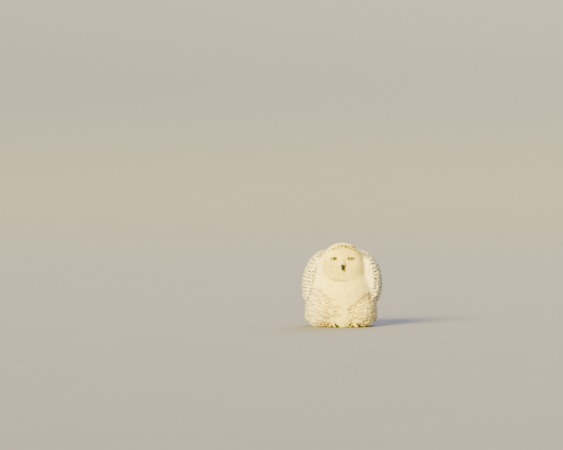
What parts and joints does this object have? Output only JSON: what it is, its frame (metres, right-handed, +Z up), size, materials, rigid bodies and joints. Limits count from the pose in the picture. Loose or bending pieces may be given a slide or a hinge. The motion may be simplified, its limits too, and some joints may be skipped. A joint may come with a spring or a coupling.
{
  "type": "snowy owl",
  "caption": "Still, life-size snowy owl squatting on the ground with folded wings and closed tail, facing the viewer.",
  "frame": {"origin": "on the floor, under the middle of the bird's box", "axes": "+Z up, -Y the way the owl faces, +X the owl's own left side"},
  "size_m": [0.3002, 0.4826, 0.3095],
  "materials": {
    "white_feathers": "soft, loose, matt plumage, warm white, nearly plain",
    "barred_feathers": "firmer matt plumage, warm white with dark brown spots and bars",
    "black_horn": "black horn, semi-gloss, with fine growth lines",
    "yellow_iris": "wet, glossy, vivid yellow iris round a black pupil"
  },
  "bodies": {
    "root": {"head": "white_feathers", "neck": "white_feathers", "trunk": "white_feathers", "eye_left": "yellow_iris", "eye_right": "yellow_iris", "bill_upper": "black_horn", "bill_lower": "black_horn", "leg_left": "barred_feathers", "foot_left": "white_feathers", "claw_left_inner": "black_horn", "claw_left_middle": "black_horn", "claw_left_outer": "black_horn", "claw_left_hind": "black_horn", "leg_right": "barred_feathers", "foot_right": "white_feathers", "claw_right_inner": "black_horn", "claw_right_middle": "black_horn", "claw_right_outer": "black_horn", "claw_right_hind": "black_horn", "wing_left": "barred_feathers", "primaries_left": "barred_feathers", "wing_right": "barred_feathers", "primaries_right": "barred_feathers", "tail": "barred_feathers"}
  },
  "joints": []
}
